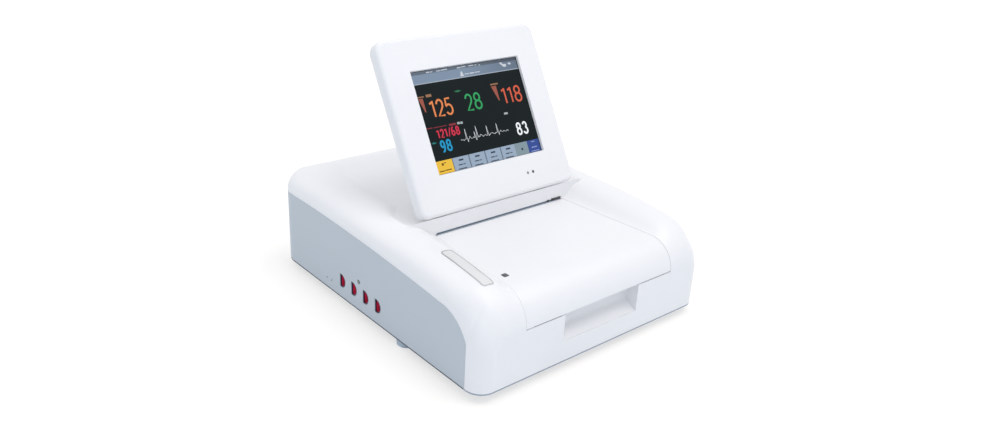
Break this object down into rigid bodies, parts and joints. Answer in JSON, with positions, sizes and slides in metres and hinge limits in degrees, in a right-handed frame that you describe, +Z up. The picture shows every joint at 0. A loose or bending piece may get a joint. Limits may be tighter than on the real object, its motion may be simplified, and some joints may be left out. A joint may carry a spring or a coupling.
{
  "type": "fetal monitor",
  "caption": "Table-top fetal monitor with a fold-down display, a sliding paper table over a strip recorder, red sensor sockets on its side and a rear connector bay.",
  "frame": {"origin": "centre of the footprint, on the surface that the feet stand on", "axes": "+Z is up, the front with the paper table faces -Y, +X is to the right of someone who looks at the front"},
  "size_m": [0.286, 0.335, 0.2529],
  "materials": {
    "white_shell": "satin moulded",
    "side_blue": "satin moulded",
    "grey_base": "matt moulded",
    "rear_plate": "matt moulded",
    "foot_rubber": "matt",
    "insert_brass": "turned",
    "screw_steel": "plated",
    "label_silver": "brushed",
    "lamp_green": "tinted",
    "socket_red": "moulded",
    "contact_gold": "gold plated",
    "board": "solder mask",
    "psu_case": "pressed",
    "speaker": "paper cone",
    "black_plastic": "moulded",
    "blade_metal": "nickel plated",
    "port_shell": "plated",
    "tray_plastic": "matt moulded",
    "chart_paper": "fan-fold paper",
    "rail_steel": "galvanised",
    "chassis_steel": "galvanised",
    "platen_rubber": "ground",
    "shaft_steel": "ground",
    "gear_plastic": "acetal",
    "heatsink": "extruded",
    "motor": "satin",
    "tear_edge": "ground",
    "slot_black": "moulded",
    "key_grey": "moulded",
    "screen_glass": "clear",
    "lcd": "lit panel",
    "bumper_rubber": "matt",
    "washer_steel": "ground",
    "dot_green": "diffusing"
  },
  "bodies": {
    "housing": {"upper_housing": "white_shell", "side_panel_left": "side_blue", "side_panel_right": "side_blue", "base_pan": "grey_base", "rear_panel": "rear_plate", "rubber_feet": "foot_rubber", "mount_inserts": "insert_brass", "housing_screws": "screw_steel", "label_plate": "label_silver", "side_screws": "screw_steel", "side_lamp": "lamp_green", "sensor_socket_1": "socket_red", "sensor_socket_2": "socket_red", "sensor_socket_3": "socket_red", "sensor_socket_4": "socket_red", "socket_pins": "contact_gold", "socket_board": "board", "main_board": "board", "power_supply": "psu_case", "loudspeaker": "speaker", "mains_inlet": "black_plastic", "inlet_blades": "blade_metal", "earth_stud": "insert_brass", "data_ports": "port_shell", "paper_tray": "tray_plastic", "paper_pack": "chart_paper", "table_rail_left": "rail_steel", "table_rail_right": "rail_steel", "recorder_chassis": "chassis_steel", "platen_bushes": "insert_brass", "printhead": "black_plastic", "heat_sink": "heatsink", "stepper_motor": "motor", "tear_bar": "tear_edge", "slot_tab": "slot_black", "hinge_beam": "chassis_steel", "hinge_brackets": "screw_steel", "hinge_pins": "shaft_steel", "friction_washers": "washer_steel"},
    "table": {"paper_table": "white_shell", "table_runners": "tray_plastic", "key_switch": "board"},
    "table_key": {"table_button": "key_grey"},
    "platen": {"platen_roller": "platen_rubber", "platen_shaft": "shaft_steel", "platen_gear": "gear_plastic"},
    "idler": {"idler_gear": "gear_plastic"},
    "pinion": {"motor_pinion": "insert_brass"},
    "display": {"display_bezel": "white_shell", "display_rear_cover": "white_shell", "touch_glass": "screen_glass", "lcd_panel": "lcd", "display_frame": "chassis_steel", "display_board": "board", "hinge_knuckles": "rail_steel", "status_lamp": "dot_green", "standby_switch": "board", "display_bumpers": "bumper_rubber", "display_screws": "screw_steel"},
    "standby_key": {"standby_button": "key_grey"}
  },
  "joints": [
    {"name": "display_tilt", "type": "hinge", "parent": "housing", "child": "display", "pos_m": [0, -0.003, 0.1145], "axis": [1, 0, 0], "range_deg": [-60, 0]},
    {"name": "table_slide", "type": "slide", "parent": "housing", "child": "table", "axis": [0, -1, 0], "range_m": [0, 0.11]},
    {"name": "table_key_press", "type": "slide", "parent": "table", "child": "table_key", "axis": [0, 0, -1], "range_m": [0, 0.0015], "stiffness_N_per_m": 400},
    {"name": "standby_key_press", "type": "slide", "parent": "display", "child": "standby_key", "axis": [0, 0.8704, -0.4924], "range_m": [0, 0.0006], "stiffness_N_per_m": 500},
    {"name": "platen_spin", "type": "hinge", "parent": "housing", "child": "platen", "pos_m": [0, -0.0154, 0.0775], "axis": [1, 0, 0], "continuous": true},
    {"name": "idler_spin", "type": "hinge", "parent": "housing", "child": "idler", "pos_m": [0, -0.00152, 0.06095], "axis": [1, 0, 0], "continuous": true},
    {"name": "pinion_spin", "type": "hinge", "parent": "housing", "child": "pinion", "pos_m": [0, 0.01202, 0.06588], "axis": [1, 0, 0], "continuous": true}
  ],
  "couplings": [
    {"joint": "idler_spin", "follows": "platen_spin", "ratio": -1.25},
    {"joint": "pinion_spin", "follows": "platen_spin", "ratio": 2.5}
  ]
}
